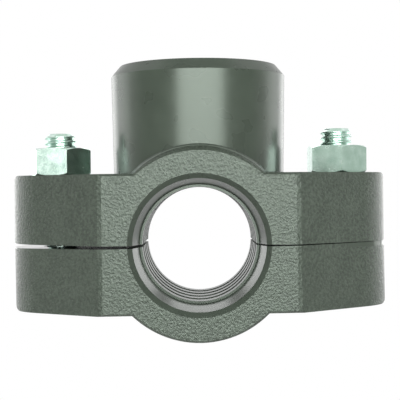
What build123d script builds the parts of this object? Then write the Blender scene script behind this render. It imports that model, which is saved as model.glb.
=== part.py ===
"""Tapping saddle: two moulded halves that clamp a pipe, with a threaded outlet boss on the upper half."""

from math import atan, cos, degrees, pi, radians, tan
import os

from build123d import *

os.makedirs("parts", exist_ok=True)

# The axes: Y runs along the pipe, Z up the outlet boss, and the origin is at the middle of the bore.

# ---- Clamp bore ----
pipe_radius = 10.0            # a 20 mm pipe
end_ledge = 1.05              # end faces, beyond the boss at its widest
mouth_radius = 12.3           # bore mouth at each end face
mouth_chamfer = 0.85          # 45 degree edge break of the mouth
lead_in_depth = 5.5           # end face to the first grip land
lead_in_step = 0.4            # how far the cone stops short of the grip lands
rib_pitch = 5.0               # grip lands, along the pipe
groove_count = 4              # grooves between the grip lands
groove_width = 2.4            # at the land surface
groove_floor = 1.4            # width at the bottom
groove_depth = 0.4

# ---- Moulded halves ----
ring_radius = 16.6            # outside of the ring round the pipe
flat_width = 34.0             # flat middle of the end faces
overall_width = 68.0          # across the two lugs
lug_end_radius = 10.5         # rounded plan end of each lug
saddle_lug_height = 12.3      # upper lugs, from the pipe axis
strap_lug_height = 11.8       # lower lugs, from the pipe axis
lug_corner = 1.5              # rounded outer corner of a lug, seen along the pipe
edge_break = 0.4              # chamfer on the outer rims of the end faces
left_gap = 0.7                # open parting gap at the left lug end
right_gap = 0.05              # almost closed at the right lug end

# ---- Outlet boss ----
boss_radius = 15.95           # at the top, under the chamfer
boss_draft = 1.0              # degrees, the boss narrows downwards
boss_top = 32.1               # rim, above the pipe axis
boss_chamfer_width = 1.6
boss_chamfer_height = 1.9
boss_foot = 8.0               # the boss is sunk to this height in the ring
foot_chamfer = 0.8            # sloping foot where the boss meets the ring
outlet_thread_radius = 10.478 # G 1/2, at the thread's major diameter
outlet_depth = 15.5           # threaded length
tap_hole_radius = 5.0         # water way from the pipe to the outlet

# ---- Seal round the tap hole ----
seal_inner_radius = 5.8
seal_outer_radius = 8.2
seal_crown = 11.8             # top of the seal, above the pipe axis
seal_clearance = 0.02

# ---- M6 bolts and nuts ----
bolt_edge_distance = 8.5      # bolt axis to the end of its lug
bolt_radius = 3.0
bolt_length = 28.0            # under the head
bolt_tip_chamfer = 0.7
across_flats = 10.0           # heads and nuts
head_height = 4.0
nut_height = 5.0
hex_chamfer_angle = 30.0      # degrees, corner chamfer of the hexes
nut_bore_clearance = 0.05
bolt_hole_clearance = 0.3
pocket_clearance = 0.2        # all round the bolt head
head_recess = 0.1             # head below the strap's underside
head_seat_clearance = 0.02
nut_turn = {"left": -12.0, "right": -27.0}
side_sign = {"left": -1, "right": 1}

# ---- Derived places ----
body_length = 2 * (boss_radius + end_ledge)
half_length = body_length / 2
lug_end_x = overall_width / 2 - lug_end_radius
bolt_spacing = overall_width - 2 * bolt_edge_distance
parting_drop = (left_gap + right_gap) / 2
outlet_floor = boss_top - outlet_depth
hex_corner_radius = across_flats / 2 / cos(pi / 6)
lean_slope = (left_gap - right_gap) / overall_width
pocket_depth = head_height + head_recess
head_seat_height = pocket_depth - strap_lug_height
past = 1.0                    # how far a cutter runs past the surface it opens


def add_ring_and_lugs(lug_height, parting, keep):
    """Ring and lugs as one outline seen along the pipe, kept on one side of the parting face."""
    with BuildSketch(Plane.XZ) as outline:
        Rectangle(overall_width, 2 * lug_height)
        fillet(outline.vertices(), lug_corner)
        Circle(ring_radius)
        with Locations((0, parting)):
            Rectangle(overall_width, ring_radius + past, align=(Align.CENTER, keep), mode=Mode.INTERSECT)
    extrude(outline.sketch, amount=half_length, both=True)


def taper_lugs():
    """Seen from above, the lugs taper from the flat end faces to round ends."""
    with BuildSketch(Plane.XY) as plan:
        Rectangle(flat_width, body_length)
        with Locations((-lug_end_x, 0), (lug_end_x, 0)):
            Circle(lug_end_radius)
        make_hull()
    extrude(plan.sketch, amount=ring_radius + past, both=True, mode=Mode.INTERSECT)


def cut_bore():
    """Pipe bore with a chamfered mouth and a lead-in cone at each end, and grooves between grip lands."""
    cone_radius = pipe_radius + lead_in_step
    mouth_step = mouth_radius - mouth_chamfer
    core_radius = pipe_radius - past
    with BuildSketch(Plane.XZ) as core:
        Circle(pipe_radius)
    extrude(core.sketch, amount=half_length + past, both=True, mode=Mode.SUBTRACT)
    with BuildSketch(Plane.XY) as cutter:
        with BuildLine():
            Polyline(
                (core_radius, half_length + past),
                (mouth_radius + past, half_length + past),
                (mouth_radius, half_length),
                (mouth_step, half_length - mouth_chamfer),
                (cone_radius, half_length - lead_in_depth),
                (pipe_radius, half_length - lead_in_depth),
                (pipe_radius, 0),
                (core_radius, 0),
                close=True,
            )
        make_face()
        mirror(about=Plane.XZ)
        with Locations((pipe_radius, 0)):
            with GridLocations(0, rib_pitch, 1, groove_count):
                Polygon(
                    (-past, -groove_width / 2),
                    (0, -groove_width / 2),
                    (groove_depth, -groove_floor / 2),
                    (groove_depth, groove_floor / 2),
                    (0, groove_width / 2),
                    (-past, groove_width / 2),
                    align=None,
                )
    revolve(cutter.sketch, axis=Axis.Y, mode=Mode.SUBTRACT)


def break_end_rims(half):
    """Small chamfers on the outer rims of the two flat end faces, with the bore and the parting left sharp."""
    end_faces = half.faces().filter_by(Plane.XZ).sort_by(Axis.Y)
    rims = []
    for end_face in (end_faces[0], end_faces[-1]):
        mouth = end_face.edges().filter_by(GeomType.CIRCLE).sort_by(SortBy.RADIUS)[0]
        rims += [edge for edge in end_face.edges() if edge != mouth and abs(edge.center().Z) > parting_drop]
    chamfer(rims, edge_break)


def cut_bolt_holes():
    with BuildSketch(Plane.XY) as holes:
        with GridLocations(bolt_spacing, 0, 2, 1):
            Circle(bolt_radius + bolt_hole_clearance)
    extrude(holes.sketch, amount=ring_radius, both=True, mode=Mode.SUBTRACT)


# ---- Upper saddle with its outlet boss ----
with BuildPart() as upper_saddle:
    add_ring_and_lugs(saddle_lug_height, 0, Align.MIN)
    taper_lugs()
    draft_shift = (boss_top - boss_chamfer_height - boss_foot) * tan(radians(boss_draft))
    with BuildSketch(Plane.XZ):
        with BuildLine():
            Polyline(
                (0, boss_foot),
                (boss_radius - draft_shift, boss_foot),
                (boss_radius, boss_top - boss_chamfer_height),
                (boss_radius - boss_chamfer_width, boss_top),
                (0, boss_top),
                close=True,
            )
        make_face()
    revolve(axis=Axis.Z)
    # The boss wall meets the round of the ring in two saddle curves, one at each end.
    boss_wall = upper_saddle.faces().filter_by(GeomType.CONE).sort_by(Axis.Z)[0]
    chamfer(boss_wall.edges().filter_by(GeomType.BSPLINE), foot_chamfer)
    cut_bore()
    cut_bolt_holes()
    with BuildSketch(Plane.XY.offset(boss_top)):
        Circle(outlet_thread_radius)
    extrude(amount=-outlet_depth, mode=Mode.SUBTRACT)
    with BuildSketch(Plane.XY.offset(outlet_floor)):
        Circle(tap_hole_radius)
    extrude(amount=-outlet_floor, mode=Mode.SUBTRACT)
    with BuildSketch(Plane.XY.offset(seal_crown + seal_clearance)):
        Circle(seal_outer_radius + seal_clearance)
        Circle(seal_inner_radius - seal_clearance, mode=Mode.SUBTRACT)
    extrude(amount=-seal_crown, mode=Mode.SUBTRACT)
    break_end_rims(upper_saddle)

upper_saddle.part.label = "upper_saddle"
export_step(upper_saddle.part, "parts/upper_saddle.step")

# ---- Lower strap ----
with BuildPart() as lower_strap:
    add_ring_and_lugs(strap_lug_height, -parting_drop, Align.MAX)
    taper_lugs()
    cut_bore()
    cut_bolt_holes()
    with BuildSketch(Plane.XY.offset(head_seat_height)):
        with GridLocations(bolt_spacing, 0, 2, 1):
            RegularPolygon(across_flats / 2 + pocket_clearance, 6, major_radius=False)
    extrude(amount=-pocket_depth - past, mode=Mode.SUBTRACT)
    break_end_rims(lower_strap)

# The strap leans about the pipe, because its right bolt is drawn up tighter than its left.
leaning_strap = lower_strap.part.rotate(Axis.Y, -degrees(atan(lean_slope)))
leaning_strap.label = "lower_strap"
export_step(leaning_strap, "parts/lower_strap.step")

# ---- Rubber seal round the tap hole, curved to the pipe underneath ----
with BuildPart() as outlet_seal:
    with BuildSketch(Plane.XY.offset(seal_crown)):
        Circle(seal_outer_radius)
        Circle(seal_inner_radius, mode=Mode.SUBTRACT)
    extrude(amount=-seal_crown)
    with BuildSketch(Plane.XZ):
        Circle(pipe_radius)
    extrude(amount=half_length, both=True, mode=Mode.SUBTRACT)

outlet_seal.part.label = "outlet_seal"
export_step(outlet_seal.part, "parts/outlet_seal.step")


def add_hexagon(base, turn, height):
    """Hexagon prism with its corners turned off at both ends."""
    with BuildSketch(base) as hexagon:
        RegularPolygon(across_flats / 2, 6, major_radius=False, rotation=turn)
    extrude(hexagon.sketch, amount=height)
    flat_radius = across_flats / 2
    corner_drop = (hex_corner_radius - flat_radius) * tan(radians(hex_chamfer_angle))
    with BuildSketch(Plane(base.origin, x_dir=(1, 0, 0), z_dir=(0, -1, 0))) as turned:
        with BuildLine():
            Polyline(
                (0, 0),
                (flat_radius, 0),
                (hex_corner_radius, corner_drop),
                (hex_corner_radius, height - corner_drop),
                (flat_radius, height),
                (0, height),
                close=True,
            )
        make_face()
    revolve(turned.sketch, axis=Axis(base.origin, (0, 0, 1)), mode=Mode.INTERSECT)


# ---- Bolts, heads captive in the strap, and nuts on the upper lugs ----
for side, sign in side_sign.items():
    bolt_x = sign * bolt_spacing / 2
    seat_height = head_seat_height + (bolt_x - hex_corner_radius) * lean_slope - head_seat_clearance
    head_base = Plane((bolt_x, 0, seat_height - head_height))
    with BuildPart() as bolt:
        add_hexagon(head_base, 0, head_height)
        with BuildSketch(head_base.offset(head_height)):
            Circle(bolt_radius)
        extrude(amount=bolt_length)
        tip = bolt.faces().sort_by(Axis.Z)[-1]
        chamfer(tip.edges(), bolt_tip_chamfer)
    bolt.part.label = "bolt_" + side
    export_step(bolt.part, "parts/bolt_" + side + ".step")

    nut_base = Plane((bolt_x, 0, saddle_lug_height))
    with BuildPart() as nut:
        add_hexagon(nut_base, nut_turn[side], nut_height)
        with BuildSketch(nut_base):
            Circle(bolt_radius + nut_bore_clearance)
        extrude(amount=nut_height, mode=Mode.SUBTRACT)
    nut.part.label = "nut_" + side
    export_step(nut.part, "parts/nut_" + side + ".step")
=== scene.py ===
import math

import bmesh
import bpy
from mathutils import Matrix, Vector


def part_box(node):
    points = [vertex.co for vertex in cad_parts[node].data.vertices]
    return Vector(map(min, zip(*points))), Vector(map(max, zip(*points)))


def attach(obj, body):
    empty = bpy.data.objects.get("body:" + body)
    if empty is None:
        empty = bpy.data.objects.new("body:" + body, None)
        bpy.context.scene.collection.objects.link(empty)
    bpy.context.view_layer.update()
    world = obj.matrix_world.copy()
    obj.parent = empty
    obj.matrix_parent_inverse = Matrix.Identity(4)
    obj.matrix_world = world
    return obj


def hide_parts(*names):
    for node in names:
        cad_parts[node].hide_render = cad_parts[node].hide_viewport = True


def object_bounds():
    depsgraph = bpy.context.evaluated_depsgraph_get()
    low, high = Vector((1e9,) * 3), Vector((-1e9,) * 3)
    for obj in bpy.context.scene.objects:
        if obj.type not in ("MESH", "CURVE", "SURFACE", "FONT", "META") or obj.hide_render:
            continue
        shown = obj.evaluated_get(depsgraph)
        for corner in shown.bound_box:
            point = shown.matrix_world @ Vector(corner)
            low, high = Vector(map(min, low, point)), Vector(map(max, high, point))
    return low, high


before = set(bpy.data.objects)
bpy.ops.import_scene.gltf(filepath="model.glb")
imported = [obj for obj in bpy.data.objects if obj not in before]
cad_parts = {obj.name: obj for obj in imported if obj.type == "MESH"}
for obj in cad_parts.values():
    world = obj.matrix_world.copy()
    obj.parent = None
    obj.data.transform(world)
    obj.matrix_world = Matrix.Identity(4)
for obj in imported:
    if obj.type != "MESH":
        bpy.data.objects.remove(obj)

bl_info = {
    "name": "Tapping saddle",
    "version": (1, 0, 0),
    "blender": (4, 5, 0),
    "location": "3D Viewport > Sidebar > Saddle",
    "description": "Finishes a clamp saddle, with its zinc-plated bolts, outlet thread and studio stage",
    "category": "Add Mesh",
}

CAD_LOW, CAD_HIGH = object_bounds()
MM = 0.001
SIDES = ("left", "right")
MERGE_GAP = 0.001 * MM
HEAD_SINK = 0.3 * MM            # the threaded shank starts inside the head

# Node kinds that are used often.
MATH = "ShaderNodeMath"
VECTOR_MATH = "ShaderNodeVectorMath"
NOISE = "ShaderNodeTexNoise"
MIX = "ShaderNodeMix"
BUMP = "ShaderNodeBump"
PRINCIPLED = "ShaderNodeBsdfPrincipled"
TRANSFORM = "GeometryNodeTransform"

# Where the finishes of the moulding begin and end.
BOSS_REACH = 1.01               # the boss's finish reaches just past its wall
LUG_REACH = 1.02                # and starts just over the lugs
PARTING_REACH = 0.6             # share of the parting band's height, to each side of its middle

# How strongly the plastic's patterns, and its painted highlight, show.
SPECKLE = 4.0                   # contrast of the grain's light and dark tones
WEAR = 0.06                     # spread of the roughness between rubbed and fresh places
HIGHLIGHT_SHARE = 0.8              # strength of the painted highlight line's light tone
TURNING_DEPTH = 0.04            # height of the turning lines, as a share of the grain's
ALONG_TURNING = (0.02, 0.02, 1.0)
PLASTIC_IOR = 1.5

# Shapes of the two threads, as shares of the pitch or of the tooth.
TOOTH_FLAT = 0.15
RIDGE_FOOT = 0.92
RIDGE_CREST = 0.2

# Place, and size across and up, of each softbox in metres, and the setting that holds its power.
SOFTBOXES = {
    "front_softbox": ((0.025, -0.45, 0.1), (0.52, 0.22), "front_power"),
    "left_rim_softbox": ((-0.5, 0.75, 0.08), (0.4, 0.5), "rim_power"),
    "left_side_softbox": ((-0.65, 0.25, 0.08), (0.4, 0.5), "side_power"),
    "right_rim_softbox": ((0.5, 0.75, 0.08), (0.4, 0.5), "rim_power"),
    "right_side_softbox": ((0.65, 0.25, 0.08), (0.4, 0.5), "side_power"),
    "back_softbox": ((0, 0.8, 0.52), (0.5, 0.36), "back_power"),
    "top_softbox": ((0, 0.05, 0.5), (0.6, 0.5), "top_power"),
}
SENSOR_WIDTH = 36.0             # mm
WHITE = (1, 1, 1, 1)
NEAREST_SEEN = 10 * MM


# ---------------------------------------------------------------- small helpers

def linear(hex_colour):
    """sRGB hex to the linear RGB that shaders take."""
    channels = [int(hex_colour[i:i + 2], 16) / 255 for i in (1, 3, 5)]
    return tuple(c / 12.92 if c <= 0.04045 else ((c + 0.055) / 1.055) ** 2.4 for c in channels)


def add_node(tree, kind, *values, **named):
    """Adds a node with its settings and links. Plain values fill its inputs in order, a capitalised name
    fills the input of that name, and a lower-case name is a setting of the node. A node or a socket that is
    given as a value is linked."""
    made = tree.nodes.new(kind)
    inputs = dict(enumerate(values))
    for key, value in named.items():
        if key[0].islower():
            setattr(made, key, value)
        else:
            inputs[key] = value
    for key, value in inputs.items():
        if isinstance(key, int):
            socket = made.inputs[key]
        else:
            socket = next(s for s in made.inputs if key in (s.identifier, s.name.replace(" ", "_")))
        if isinstance(value, bpy.types.Node):
            value = next(output for output in value.outputs if output.enabled)
        if isinstance(value, bpy.types.NodeSocket):
            tree.links.new(value, socket)
        else:
            socket.default_value = value
    return made


def new_material(name):
    """An empty material, its node tree and its object coordinates."""
    material = bpy.data.materials.new(name)
    material.use_nodes = True
    tree = material.node_tree
    tree.nodes.clear()
    place = add_node(tree, "ShaderNodeTexCoord").outputs["Object"]
    return material, tree, place


def distance_from_axis(tree, place, across):
    """How far a point lies from an axis; across is 1 for the two directions that count."""
    flattened = add_node(tree, VECTOR_MATH, place, across, operation="MULTIPLY")
    return add_node(tree, VECTOR_MATH, flattened, operation="LENGTH")


def dress(node_name, material):
    """Gives a CAD node its finish; its shape stays."""
    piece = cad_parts[node_name]
    if not piece.material_slots:
        piece.data.materials.append(material)
    for material_slot in piece.material_slots:
        material_slot.material = material


def new_piece(name, mesh):
    mesh.name = name
    piece = bpy.data.objects.new(name, mesh)
    bpy.context.scene.collection.objects.link(piece)
    return piece


# ---------------------------------------------------------------- materials

def black_polypropylene(settings):
    """Injection moulded black polypropylene, which looks dark grey. Its end faces and lugs have a
    spark-eroded grain, its boss is satin with fine turning lines, its bore is smooth, and its lugs part on
    glossy faces. A painted highlight, a lighter line, runs round the top of the boss's foot over the crown."""
    material, tree, place = new_material("black_moulded_polypropylene")
    x, _, z = add_node(tree, "ShaderNodeSeparateXYZ", place).outputs
    from_middle = add_node(tree, MATH, x, operation="ABSOLUTE")
    from_boss_axis = distance_from_axis(tree, place, (1, 1, 0))
    from_bore_axis = distance_from_axis(tree, place, (1, 0, 1))

    over_lugs = add_node(tree, MATH, z, settings.lug_top * LUG_REACH, operation="GREATER_THAN")
    by_boss = add_node(tree, MATH, from_boss_axis, settings.boss_radius * BOSS_REACH, operation="LESS_THAN")
    on_boss = add_node(tree, MATH, by_boss, over_lugs, operation="MULTIPLY")
    in_bore = add_node(tree, MATH, from_bore_axis, settings.mouth_radius, operation="LESS_THAN")

    over_parting = add_node(tree, MATH, z, settings.parting_band / 2, operation="ADD")
    from_parting = add_node(tree, MATH, over_parting, operation="ABSOLUTE")
    reach = settings.parting_band * PARTING_REACH
    at_parting = add_node(tree, MATH, from_parting, reach, operation="LESS_THAN")
    at_lug_end = add_node(tree, MATH, from_middle, settings.polished_from, operation="GREATER_THAN")
    polished = add_node(tree, MATH, at_parting, at_lug_end, operation="MULTIPLY")

    smooth = add_node(tree, MATH, on_boss, in_bore, operation="MAXIMUM")
    grainless = add_node(tree, MATH, smooth, polished, operation="MAXIMUM")
    grainy = add_node(tree, MATH, 1.0, grainless, operation="SUBTRACT")

    # Painted highlight: a lighter line painted round the boss just above its foot, only over the crown. It
    # stands in for the light that the foot's rounded edge catches.
    half_highlight = settings.highlight_width / 2
    at_foot = add_node(tree, MATH, from_bore_axis, settings.highlight_radius, half_highlight, operation="COMPARE")
    over_crown = add_node(tree, MATH, from_middle, settings.highlight_half_width, operation="LESS_THAN")
    boss_foot = add_node(tree, MATH, at_foot, on_boss, operation="MULTIPLY")
    painted_highlight = add_node(tree, MATH, boss_foot, over_crown, operation="MULTIPLY")

    grain = add_node(tree, NOISE, Vector=place, Scale=1 / settings.grain_size, Detail=3.0, Roughness=0.6)
    mottle = add_node(tree, NOISE, Vector=place, Scale=1 / settings.mottle_size, Detail=2.0)
    drawn_out = add_node(tree, "ShaderNodeMapping", Vector=place, Scale=ALONG_TURNING)
    turning = add_node(tree, NOISE, Vector=drawn_out, Scale=1 / settings.turning_pitch, Detail=2.0)

    swing = add_node(tree, MATH, grain, 0.5, operation="SUBTRACT")
    contrast = add_node(tree, MATH, grainy, SPECKLE, operation="MULTIPLY")
    shade = add_node(tree, MATH, swing, contrast, mottle, operation="MULTIPLY_ADD")
    tone = add_node(
        tree, MIX, data_type="RGBA", Factor=shade,
        A_Color=(*settings.plastic_dark, 1.0), B_Color=(*settings.plastic_light, 1.0),
    )
    # The painted highlight's lighter colour is mixed over the plastic's tone.
    highlight_mix = add_node(tree, MATH, painted_highlight, HIGHLIGHT_SHARE, operation="MULTIPLY")
    colour = add_node(
        tree, MIX, data_type="RGBA", Factor=highlight_mix, A_Color=tone, B_Color=(*settings.plastic_highlight, 1.0))

    satin = settings.smooth_roughness
    level = add_node(tree, MATH, grainy, settings.grain_roughness - satin, satin, operation="MULTIPLY_ADD")
    level = add_node(
        tree, MATH, polished, settings.polished_roughness - satin, level, operation="MULTIPLY_ADD")
    wear = add_node(tree, MATH, mottle, WEAR, -WEAR / 2, operation="MULTIPLY_ADD")
    roughness = add_node(tree, MATH, level, wear, operation="ADD")

    pits = add_node(tree, MATH, grain, grainy, operation="MULTIPLY")
    rings = add_node(tree, MATH, turning, on_boss, operation="MULTIPLY")
    height = add_node(tree, MATH, rings, TURNING_DEPTH, pits, operation="MULTIPLY_ADD")
    relief = add_node(tree, BUMP, Strength=1.0, Distance=settings.grain_depth, Height=height)

    shader = add_node(
        tree, PRINCIPLED, Base_Color=colour, Roughness=roughness, Normal=relief,
        IOR=PLASTIC_IOR, Specular_Tint=(*settings.sheen, 1.0),
    )
    add_node(tree, "ShaderNodeOutputMaterial", Surface=shader)
    return material


def bright_zinc_plate(settings):
    """Cold-formed steel with a bright bluish zinc plate: soft mirror reflections, a little uneven."""
    material, tree, place = new_material("bright_zinc_plated_steel")
    cloud = add_node(tree, NOISE, Vector=place, Scale=1 / settings.plate_cloud, Detail=3.0)
    tone = add_node(
        tree, MIX, data_type="RGBA", Factor=cloud,
        A_Color=(*settings.zinc_blue, 1.0), B_Color=(*settings.zinc_pale, 1.0),
    )
    roughness = add_node(
        tree, MATH, cloud, settings.plate_haze, settings.plate_roughness, operation="MULTIPLY_ADD")
    marks = add_node(tree, NOISE, Vector=place, Scale=1 / settings.plate_marks, Detail=2.0)
    relief = add_node(tree, BUMP, Strength=0.6, Distance=settings.mark_depth, Height=marks)
    shader = add_node(tree, PRINCIPLED, Base_Color=tone, Metallic=1.0, Roughness=roughness, Normal=relief)
    add_node(tree, "ShaderNodeOutputMaterial", Surface=shader)
    return material


def black_seal_rubber(settings):
    """Moulded nitrile rubber: near black and dull, with a fine bloom."""
    material, tree, place = new_material("black_nitrile_rubber")
    bloom = add_node(tree, NOISE, Vector=place, Scale=1 / settings.bloom_size, Detail=3.0)
    tone = add_node(
        tree, MIX, data_type="RGBA", Factor=bloom,
        A_Color=(*settings.rubber_black, 1.0), B_Color=(*settings.rubber_bloom, 1.0),
    )
    relief = add_node(tree, BUMP, Strength=0.5, Distance=settings.bloom_depth, Height=bloom)
    shader = add_node(tree, PRINCIPLED, Base_Color=tone, Roughness=settings.rubber_roughness, Normal=relief)
    add_node(tree, "ShaderNodeOutputMaterial", Surface=shader)
    return material


def studio_paper(settings):
    """Plain pale paper: it shows as white to the eye and in gloss, and is lit as paper everywhere else."""
    material, tree, place = new_material("pale_studio_paper")
    tooth = add_node(tree, NOISE, Vector=place, Scale=1 / settings.paper_tooth, Detail=2.0)
    relief = add_node(tree, BUMP, Strength=0.05, Distance=settings.paper_depth, Height=tooth)
    paper = add_node(
        tree, PRINCIPLED, Base_Color=(*settings.floor_colour, 1.0), Roughness=settings.paper_roughness,
        Normal=relief,
    )
    white = add_node(tree, "ShaderNodeEmission", Color=WHITE, Strength=1.0)
    path = add_node(tree, "ShaderNodeLightPath").outputs
    seen = add_node(tree, MATH, path["Is Camera Ray"], path["Is Glossy Ray"], operation="MAXIMUM")
    seen = add_node(tree, MATH, seen, path["Is Transmission Ray"], operation="MAXIMUM")
    surface = add_node(tree, "ShaderNodeMixShader", seen, paper, white)
    add_node(tree, "ShaderNodeOutputMaterial", Surface=surface)
    return material


# ---------------------------------------------------------------- thread shapes

def new_shape_tree(name, **inputs):
    """A Geometry Nodes tree with its named inputs; a value of None stands for a material."""
    kinds = {float: "NodeSocketFloat", int: "NodeSocketInt", tuple: "NodeSocketVector"}
    tree = bpy.data.node_groups.new(name, "GeometryNodeTree")
    for key, value in inputs.items():
        kind = kinds.get(type(value), "NodeSocketMaterial")
        socket = tree.interface.new_socket(key.replace("_", " "), in_out="INPUT", socket_type=kind)
        if value is not None:
            socket.default_value = value
    tree.interface.new_socket("Geometry", in_out="OUTPUT", socket_type="NodeSocketGeometry")
    return tree, add_node(tree, "NodeGroupInput").outputs


def finish_shape_tree(tree, given, shape):
    """Puts the shape in its place and gives it its material."""
    placed = add_node(tree, TRANSFORM, Geometry=shape, Translation=given["Low End"])
    real = add_node(tree, "GeometryNodeRealizeInstances", Geometry=placed)
    finished = add_node(tree, "GeometryNodeSetMaterial", Geometry=real, Material=given["Material"])
    add_node(tree, "NodeGroupOutput", Geometry=finished)


def threaded_shank_tree():
    """A closed shank with a right-hand thread and a cone at each end, built from one rolled-up grid."""
    tree, given = new_shape_tree(
        "threaded_shank",
        Crest_Radius=3 * MM, Root_Radius=2.4 * MM, Pitch=1 * MM, Low_End=(0, 0, 0), Length=28 * MM,
        Cone=0.7 * MM, Sides=56, Rows=336, Material=None,
    )
    columns = add_node(tree, MATH, given["Sides"], 1.0, operation="ADD")
    grid = add_node(
        tree, "GeometryNodeMeshGrid", Size_X=1.0, Size_Y=1.0, Vertices_X=columns, Vertices_Y=given["Rows"])
    position = add_node(tree, "GeometryNodeInputPosition")
    grid_x, grid_y, _ = add_node(tree, "ShaderNodeSeparateXYZ", position).outputs
    turn = add_node(tree, MATH, grid_x, 0.5, operation="ADD")
    angle = add_node(tree, MATH, turn, math.tau, operation="MULTIPLY")
    rise = add_node(tree, MATH, grid_y, 0.5, operation="ADD")
    up = add_node(tree, MATH, rise, given["Length"], operation="MULTIPLY")

    pitches_up = add_node(tree, MATH, up, given["Pitch"], operation="DIVIDE")
    unwound = add_node(tree, MATH, pitches_up, turn, operation="SUBTRACT")
    phase = add_node(tree, MATH, unwound, operation="FRACT")
    sawtooth = add_node(tree, MATH, phase, 2.0, -1.0, operation="MULTIPLY_ADD")
    tooth = add_node(tree, MATH, sawtooth, operation="ABSOLUTE")
    flat_tooth = add_node(
        tree, "ShaderNodeMapRange", Value=tooth, From_Min=TOOTH_FLAT, From_Max=1 - TOOTH_FLAT)
    depth = add_node(tree, MATH, given["Crest Radius"], given["Root Radius"], operation="SUBTRACT")
    thread = add_node(tree, MATH, depth, flat_tooth, given["Root Radius"], operation="MULTIPLY_ADD")

    end_radius = add_node(tree, MATH, given["Crest Radius"], given["Cone"], operation="SUBTRACT")
    to_tip = add_node(tree, MATH, given["Length"], up, operation="SUBTRACT")
    to_end = add_node(tree, MATH, to_tip, up, operation="MINIMUM")
    cone = add_node(tree, MATH, end_radius, to_end, operation="ADD")
    radius = add_node(tree, MATH, thread, cone, operation="MINIMUM")
    cosine = add_node(tree, MATH, angle, operation="COSINE")
    sine = add_node(tree, MATH, angle, operation="SINE")
    across = add_node(tree, MATH, radius, cosine, operation="MULTIPLY")
    along = add_node(tree, MATH, radius, sine, operation="MULTIPLY")
    rolled = add_node(tree, "ShaderNodeCombineXYZ", across, along, up)
    wall = add_node(tree, "GeometryNodeSetPosition", Geometry=grid, Position=rolled)

    disc = add_node(
        tree, "GeometryNodeMeshCircle", fill_type="NGON", Vertices=given["Sides"], Radius=end_radius)
    tip_place = add_node(tree, "ShaderNodeCombineXYZ", Z=given["Length"])
    tip = add_node(tree, TRANSFORM, Geometry=disc, Translation=tip_place)
    foot = add_node(tree, "GeometryNodeFlipFaces", Mesh=disc)
    joined = add_node(tree, "GeometryNodeJoinGeometry")
    for part in (foot, tip, wall):
        tree.links.new(part.outputs[0], joined.inputs[0])
    closed = add_node(tree, "GeometryNodeMergeByDistance", Geometry=joined, Distance=MERGE_GAP)
    finish_shape_tree(tree, given, closed)
    return tree


def inner_thread_tree():
    """A helical ridge that stands inwards from the wall of a hole."""
    tree, given = new_shape_tree(
        "inner_thread",
        Wall_Radius=10.478 * MM, Thread_Height=1.16 * MM, Pitch=1.814 * MM, Turns=7.0, Low_End=(0, 0, 0),
        Sides=72, Material=None,
    )
    middle = add_node(
        tree, MATH, given["Thread Height"], -0.5, given["Wall Radius"], operation="MULTIPLY_ADD")
    rise = add_node(tree, MATH, given["Pitch"], given["Turns"], operation="MULTIPLY")
    helix = add_node(
        tree, "GeometryNodeCurveSpiral", Resolution=given["Sides"], Rotations=given["Turns"],
        Start_Radius=middle, End_Radius=middle, Height=rise,
    )
    upright = add_node(tree, "GeometryNodeSetCurveNormal", mode="Z_UP", Curve=helix)
    foot = add_node(tree, MATH, given["Pitch"], RIDGE_FOOT, operation="MULTIPLY")
    crest = add_node(tree, MATH, given["Pitch"], RIDGE_CREST, operation="MULTIPLY")
    section = add_node(
        tree, "GeometryNodeCurvePrimitiveQuadrilateral", mode="TRAPEZOID",
        Height=given["Thread Height"], Bottom_Width=foot, Top_Width=crest, Offset=0.0,
    )
    quarter_turn = add_node(tree, TRANSFORM, Geometry=section, Rotation=(0, 0, math.pi / 2))
    ridge = add_node(
        tree, "GeometryNodeCurveToMesh", Curve=upright, Profile_Curve=quarter_turn, Fill_Caps=True)
    finish_shape_tree(tree, given, ridge)
    return tree


def mesh_from_tree(tree, name, **values):
    """Runs a tree on an empty mesh and gives its result as a plain mesh."""
    carrier = new_piece(name + "_carrier", bpy.data.meshes.new(name))
    modifier = carrier.modifiers.new("shape", "NODES")
    modifier.node_group = tree
    for item in tree.interface.items_tree:
        key = item.name.replace(" ", "_")
        if item.in_out == "INPUT" and key in values:
            modifier[item.identifier] = values[key]
    graph = bpy.context.evaluated_depsgraph_get()
    mesh = bpy.data.meshes.new_from_object(carrier.evaluated_get(graph))
    carrier.modifiers.remove(modifier)
    bpy.data.objects.remove(carrier)
    return mesh


def outward(mesh, shaded_smooth):
    """Merges doubles, turns every face outwards and sets the shading."""
    form = bmesh.new()
    form.from_mesh(mesh)
    bmesh.ops.remove_doubles(form, verts=form.verts, dist=MERGE_GAP)
    bmesh.ops.recalc_face_normals(form, faces=form.faces)
    for face in form.faces:
        face.smooth = shaded_smooth
    form.to_mesh(mesh)
    form.free()
    return mesh


def head_mesh(node_name, seat_height):
    """The hexagon head of a CAD bolt, closed at its seat."""
    form = bmesh.new()
    form.from_mesh(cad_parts[node_name].data)
    bmesh.ops.remove_doubles(form, verts=form.verts, dist=MERGE_GAP)
    cut = bmesh.ops.bisect_plane(
        form, geom=form.verts[:] + form.edges[:] + form.faces[:],
        plane_co=(0, 0, seat_height), plane_no=(0, 0, 1), clear_outer=True,
    )
    rim = [part for part in cut["geom_cut"] if isinstance(part, bmesh.types.BMEdge)]
    bmesh.ops.holes_fill(form, edges=rim)
    mesh = bpy.data.meshes.new(node_name + "_head")
    form.to_mesh(mesh)
    form.free()
    return mesh


def joined_mesh(name, meshes, material):
    """One mesh of several closed ones, all in one material."""
    form = bmesh.new()
    for mesh in meshes:
        form.from_mesh(mesh)
    whole = bpy.data.meshes.new(name)
    form.to_mesh(whole)
    form.free()
    whole.materials.append(material)
    for face in whole.polygons:
        face.material_index = 0
    return whole


# ---------------------------------------------------------------- settings

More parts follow.
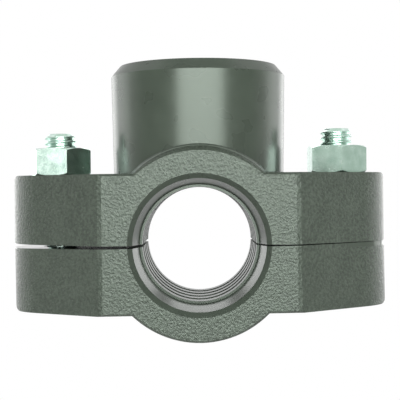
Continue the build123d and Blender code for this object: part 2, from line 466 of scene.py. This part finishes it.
LENGTH = {"subtype": "DISTANCE", "unit": "LENGTH", "precision": 5}
SHARE = {"subtype": "FACTOR", "min": 0, "max": 1}
POWER = {"unit": "POWER", "min": 0}
ANGLE = {"subtype": "ANGLE", "unit": "ROTATION"}
LENS = {"unit": "CAMERA"}


def colour_setting(name, description, hex_colour):
    return bpy.props.FloatVectorProperty(
        name=name, description=description, default=linear(hex_colour),
        subtype="COLOR", size=3, min=0, max=1,
    )


def setting(name, description, value, measure):
    return bpy.props.FloatProperty(name=name, description=description, default=value, **measure)


class SaddleMouldings(bpy.types.PropertyGroup):
    plastic_dark: colour_setting("Plastic, dark", "Darker tone of the black moulding", "#2b302a")
    plastic_light: colour_setting("Plastic, light", "Lighter tone of the black moulding", "#3b423a")
    # Colour of the painted highlight line round the boss's foot.
    plastic_highlight: colour_setting("Plastic, rubbed", "Tone of the line round the boss's foot", "#565e56")
    sheen: colour_setting("Sheen", "Faint green cast of the moulding's gloss", "#f0fff2")
    grain_size: setting("Grain size", "Width of the grain, drawn coarser than the real so that it shows",
                        0.45 * MM, LENGTH)
    grain_depth: setting("Grain depth", "Height of the grain", 0.16 * MM, LENGTH)
    mottle_size: setting("Mottle size", "Width of the soft tone changes", 4.0 * MM, LENGTH)
    turning_pitch: setting("Turning lines", "Spacing of the fine lines round the boss", 0.35 * MM, LENGTH)
    # Width of the painted highlight line round the boss's foot.
    highlight_width: setting("Rubbed width", "Width of the rubbed line round the boss's foot", 0.2 * MM, LENGTH)
    grain_roughness: setting("Grain roughness", "Roughness of the grained faces", 0.25, SHARE)
    smooth_roughness: setting("Smooth roughness", "Roughness of the boss and the bore", 0.28, SHARE)
    polished_roughness: setting("Polished roughness", "Roughness of the lugs' parting faces", 0.07, SHARE)
    polished_from: setting("Polished from", "Distance from the middle where the parting faces turn glossy",
                           26.0 * MM, LENGTH)
    parting_band: setting("Parting band", "Height of the band with both parting faces", 0.8 * MM, LENGTH)
    boss_radius: setting("Boss radius", "Outside of the outlet boss", 15.95 * MM, LENGTH)
    # Where the painted highlight line runs round the boss's foot, and how far it reaches to each side of
    # the middle.
    highlight_radius: setting("Foot radius", "Rubbed line of the boss's foot, from the axis of the bore",
                         17.05 * MM, LENGTH)
    highlight_half_width: setting("Foot half width", "Half of the width of the boss's foot", 11.3 * MM, LENGTH)
    lug_top: setting("Lug top", "Height of the upper lugs", 12.3 * MM, LENGTH)
    mouth_radius: setting("Bore mouth", "Radius of the bore mouth", 12.3 * MM, LENGTH)


class SaddleFasteners(bpy.types.PropertyGroup):
    zinc_blue: colour_setting("Zinc, blue", "Bluish tone of the plate", "#b9d2c8")
    zinc_pale: colour_setting("Zinc, pale", "Pale tone of the plate", "#dcebe4")
    plate_roughness: setting("Plate roughness", "Roughness of the clearest plate", 0.17, SHARE)
    plate_haze: setting("Plate haze", "Roughness that the haziest plate has on top", 0.15, SHARE)
    plate_cloud: setting("Plate clouds", "Width of the soft tone changes in the plate", 1.5 * MM, LENGTH)
    plate_marks: setting("Plate marks", "Width of the small handling marks", 0.4 * MM, LENGTH)
    mark_depth: setting("Mark depth", "Depth of the small handling marks", 0.01 * MM, LENGTH)
    thread_pitch: setting("Thread pitch", "M6 coarse pitch", 1.0 * MM, LENGTH)
    crest_radius: setting("Thread crest", "Half of the M6 major diameter", 3.0 * MM, LENGTH)
    root_radius: setting("Thread root", "Half of the M6 core diameter", 2.42 * MM, LENGTH)
    head_height: setting("Head height", "Height of the bolt head", 4.0 * MM, LENGTH)
    tip_cone: setting("Tip cone", "Chamfer at the bolt's end", 0.7 * MM, LENGTH)


class SaddleOutlet(bpy.types.PropertyGroup):
    rubber_black: colour_setting("Rubber", "Seal rubber", "#191a1a")
    rubber_bloom: colour_setting("Rubber bloom", "Greyish bloom on the seal", "#2a2b2a")
    rubber_roughness: setting("Rubber roughness", "Roughness of the seal", 0.75, SHARE)
    bloom_size: setting("Bloom size", "Width of the bloom's spots", 0.8 * MM, LENGTH)
    bloom_depth: setting("Bloom depth", "Height of the bloom's spots", 0.02 * MM, LENGTH)
    wall_radius: setting("Outlet wall", "Hole in the boss, to the thread's roots", 10.478 * MM, LENGTH)
    thread_height: setting("Thread height", "Height of the outlet thread", 1.16 * MM, LENGTH)
    thread_pitch: setting("Thread pitch", "G 1/2 pitch", 1.814 * MM, LENGTH)
    thread_depth: setting("Thread depth", "Depth of the outlet", 15.5 * MM, LENGTH)
    mouth_gap: setting("Mouth gap", "Plain length at each end of the thread", 0.9 * MM, LENGTH)


class SaddleStage(bpy.types.PropertyGroup):
    floor_colour: colour_setting("Floor", "Pale studio floor, backdrop and wings", "#f4f5f3")
    paper_roughness: setting("Paper roughness", "Roughness of the studio paper", 0.9, SHARE)
    paper_tooth: setting("Paper tooth", "Width of the paper's tooth", 2 * MM, LENGTH)
    paper_depth: setting("Paper depth", "Height of the paper's tooth", 0.05 * MM, LENGTH)
    room_colour: colour_setting("Room", "Tone of the room that fills the shadows", "#8e948e")
    room_level: setting("Room level", "Brightness of the room", 0.6, SHARE)
    gloss_colour: colour_setting("Room in gloss", "Tone of the room in reflections", "#c4d2c6")
    gloss_level: setting("Room level in gloss", "Brightness of the room in reflections", 0.85, SHARE)
    floor_drop: setting("Floor drop", "Floor below the saddle", 45.0 * MM, LENGTH)
    room_half_width: setting("Room half width", "Middle of the room to its sides", 1500 * MM, LENGTH)
    room_depth: setting("Room depth", "Saddle to the backdrop", 1200 * MM, LENGTH)
    room_height: setting("Room height", "Top of the backdrop and the wings", 1600 * MM, LENGTH)
    wing_distance: setting("Wing distance", "Saddle to the white wing at each side", 700 * MM, LENGTH)
    wing_reach: setting("Wing reach", "How far the wings come forward of the saddle", 100 * MM, LENGTH)
    front_power: setting("Front light", "Power of the softbox by the camera", 3.5, POWER)
    top_power: setting("Top light", "Power of the softbox above", 0.35, POWER)
    rim_power: setting("Rim lights", "Power of each softbox beside and behind", 1.25, POWER)
    side_power: setting("Side lights", "Power of each softbox at the sides", 1.05, POWER)
    back_power: setting("Back light", "Power of the softbox high behind", 1.2, POWER)
    camera_distance: setting("Camera distance", "Camera to the plane of the bolts", 199.0 * MM, LENGTH)
    camera_height: setting("Camera height", "Camera above the axis of the bore", 9.4 * MM, LENGTH)
    camera_pitch: setting("Pitch", "Camera tilt down", math.radians(0.53), ANGLE)
    camera_yaw: setting("Yaw", "Camera turn to the right", math.radians(0.05), ANGLE)
    camera_roll: setting("Roll", "Camera roll", math.radians(0.6), ANGLE)
    focal_length: setting("Focal length", "Lens of the camera", 96.75, LENS)


# ---------------------------------------------------------------- operators

class SADDLE_OT_mouldings(bpy.types.Operator):
    """Finish the upper saddle and the lower strap in moulded polypropylene"""
    bl_idname = "tapping_saddle.mouldings"
    bl_label = "Mouldings"

    def execute(self, context):
        plastic = black_polypropylene(context.scene.saddle_mouldings)
        for name in ("upper_saddle", "lower_strap"):
            dress(name, plastic)
        return {"FINISHED"}


class SADDLE_OT_nuts(bpy.types.Operator):
    """Finish the two hexagon nuts in bright zinc plate"""
    bl_idname = "tapping_saddle.nuts"
    bl_label = "Nuts"

    def execute(self, context):
        plate = bright_zinc_plate(context.scene.saddle_fasteners)
        for side in SIDES:
            dress("nut_" + side, plate)
        return {"FINISHED"}


class SADDLE_OT_bolts(bpy.types.Operator):
    """Make the two bolts with a real M6 thread on their shanks"""
    bl_idname = "tapping_saddle.bolts"
    bl_label = "Bolts"

    def execute(self, context):
        settings = context.scene.saddle_fasteners
        plate = bpy.data.materials["bright_zinc_plated_steel"]
        tree = threaded_shank_tree()
        for side in SIDES:
            node_name = "bolt_" + side
            low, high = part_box(node_name)
            middle = (low + high) / 2
            seat_height = low.z + settings.head_height
            shank = mesh_from_tree(
                tree, node_name,
                Crest_Radius=settings.crest_radius,
                Root_Radius=settings.root_radius,
                Pitch=settings.thread_pitch,
                Low_End=(middle.x, middle.y, seat_height - HEAD_SINK),
                Length=high.z - seat_height + HEAD_SINK,
                Cone=settings.tip_cone,
                Material=plate,
            )
            parts = [
                outward(head_mesh(node_name, seat_height), shaded_smooth=False),
                outward(shank, shaded_smooth=True),
            ]
            bolt = new_piece("threaded_" + node_name, joined_mesh("threaded_" + node_name, parts, plate))
            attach(bolt, "strap")
            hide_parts(node_name)
        return {"FINISHED"}


class SADDLE_OT_outlet(bpy.types.Operator):
    """Cut the outlet's G 1/2 thread and finish the rubber seal"""
    bl_idname = "tapping_saddle.outlet"
    bl_label = "Outlet"

    def execute(self, context):
        settings = context.scene.saddle_outlet
        plastic = bpy.data.materials["black_moulded_polypropylene"]
        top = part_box("upper_saddle")[1].z
        clear_length = settings.thread_depth - 2 * settings.mouth_gap - settings.thread_pitch
        low_end = top - settings.thread_depth + settings.mouth_gap + settings.thread_pitch / 2
        ridge = mesh_from_tree(
            inner_thread_tree(), "outlet_thread",
            Wall_Radius=settings.wall_radius,
            Thread_Height=settings.thread_height,
            Pitch=settings.thread_pitch,
            Turns=clear_length / settings.thread_pitch,
            Low_End=(0, 0, low_end),
            Material=plastic,
        )
        parts = [outward(ridge, shaded_smooth=False)]
        thread = new_piece("outlet_thread", joined_mesh("outlet_thread", parts, plastic))
        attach(thread, "saddle")
        dress("outlet_seal", black_seal_rubber(settings))
        return {"FINISHED"}


def stage_panel(name, corners, material):
    mesh = bpy.data.meshes.new(name)
    mesh.from_pydata(corners, [], [tuple(range(len(corners)))])
    mesh.materials.append(material)
    panel = new_piece(name, mesh)


def studio_room(settings):
    """The floor, the backdrop and the two white wings."""
    paper = studio_paper(settings)
    low = CAD_LOW.z - settings.floor_drop
    half, back, tall = settings.room_half_width, settings.room_depth, settings.room_height
    front = -settings.wing_reach
    floor = [(-half, -back, low), (half, -back, low), (half, back, low), (-half, back, low)]
    backdrop = [(-half, back, low), (half, back, low), (half, back, tall), (-half, back, tall)]
    stage_panel("floor", floor, paper)
    stage_panel("backdrop", backdrop, paper)
    for side, x in zip(SIDES, (-settings.wing_distance, settings.wing_distance)):
        wing = [(x, front, low), (x, back, low), (x, back, tall), (x, front, tall)]
        stage_panel(side + "_wing", wing, paper)


def softbox(name, place, size, power):
    """A soft lamp that faces the saddle."""
    lamp = bpy.data.lights.new(name, "AREA")
    lamp.shape = "RECTANGLE"
    lamp.size, lamp.size_y = size
    lamp.energy = power
    box = bpy.data.objects.new(name, lamp)
    box.location = place
    box.rotation_euler = (-Vector(place)).to_track_quat("-Z", "Y").to_euler()
    bpy.context.scene.collection.objects.link(box)


def studio_world(settings):
    """White to the eye, pale in reflections, and a dim room for the light that fills the shadows."""
    world = bpy.data.worlds.new("studio")
    world.use_nodes = True
    tree = world.node_tree
    tree.nodes.clear()
    room = add_node(
        tree, "ShaderNodeBackground", Color=(*settings.room_colour, 1.0), Strength=settings.room_level)
    gloss = add_node(
        tree, "ShaderNodeBackground", Color=(*settings.gloss_colour, 1.0), Strength=settings.gloss_level)
    white = add_node(tree, "ShaderNodeBackground", Color=WHITE, Strength=1.0)
    path = add_node(tree, "ShaderNodeLightPath").outputs
    mirrored = add_node(tree, MATH, path["Is Glossy Ray"], path["Is Transmission Ray"], operation="MAXIMUM")
    unseen = add_node(tree, "ShaderNodeMixShader", mirrored, room, gloss)
    whole = add_node(tree, "ShaderNodeMixShader", path["Is Camera Ray"], unseen, white)
    add_node(tree, "ShaderNodeOutputWorld", Surface=whole)
    return world


def studio_camera(settings):
    lens = bpy.data.cameras.new("camera")
    lens.lens = settings.focal_length
    lens.sensor_width = SENSOR_WIDTH
    lens.clip_start = NEAREST_SEEN
    camera = bpy.data.objects.new("camera", lens)
    placed = Matrix.Translation((0, -settings.camera_distance, settings.camera_height))
    turned = Matrix.Rotation(-settings.camera_yaw, 4, "Z")
    level = Matrix.Rotation(math.pi / 2, 4, "X")
    tilted = Matrix.Rotation(-settings.camera_pitch, 4, "X")
    rolled = Matrix.Rotation(-settings.camera_roll, 4, "Z")
    camera.matrix_world = placed @ turned @ level @ tilted @ rolled
    bpy.context.scene.collection.objects.link(camera)
    return camera


class SADDLE_OT_stage(bpy.types.Operator):
    """Set the pale studio floor, backdrop, soft lights and camera"""
    bl_idname = "tapping_saddle.stage"
    bl_label = "Stage"

    def execute(self, context):
        settings = context.scene.saddle_stage
        studio_room(settings)
        for name, (place, size, power) in SOFTBOXES.items():
            softbox(name, place, size, getattr(settings, power))
        context.scene.world = studio_world(settings)
        context.scene.camera = studio_camera(settings)
        context.scene.view_settings.view_transform = "Standard"
        return {"FINISHED"}


class SADDLE_PT_panel(bpy.types.Panel):
    """Lists the steps that build the saddle's looks"""
    bl_label = "Tapping saddle"
    bl_idname = "SADDLE_PT_panel"
    bl_space_type = "VIEW_3D"
    bl_region_type = "UI"
    bl_category = "Saddle"

    def draw(self, context):
        for step in STEPS:
            self.layout.operator(step.bl_idname)


GROUPS = {
    "saddle_mouldings": SaddleMouldings,
    "saddle_fasteners": SaddleFasteners,
    "saddle_outlet": SaddleOutlet,
    "saddle_stage": SaddleStage,
}
STEPS = (SADDLE_OT_mouldings, SADDLE_OT_nuts, SADDLE_OT_bolts, SADDLE_OT_outlet, SADDLE_OT_stage)


def register():
    for cls in (*GROUPS.values(), *STEPS, SADDLE_PT_panel):
        bpy.utils.register_class(cls)
    for name, group in GROUPS.items():
        setattr(bpy.types.Scene, name, bpy.props.PointerProperty(type=group))


def unregister():
    for name in GROUPS:
        delattr(bpy.types.Scene, name)
    for cls in (SADDLE_PT_panel, *reversed(STEPS), *reversed(GROUPS.values())):
        bpy.utils.unregister_class(cls)


def main():
    register()
    bpy.ops.tapping_saddle.mouldings()
    bpy.ops.tapping_saddle.nuts()
    bpy.ops.tapping_saddle.bolts()
    bpy.ops.tapping_saddle.outlet()
    bpy.ops.tapping_saddle.stage()


if __name__ == "__main__":
    main()
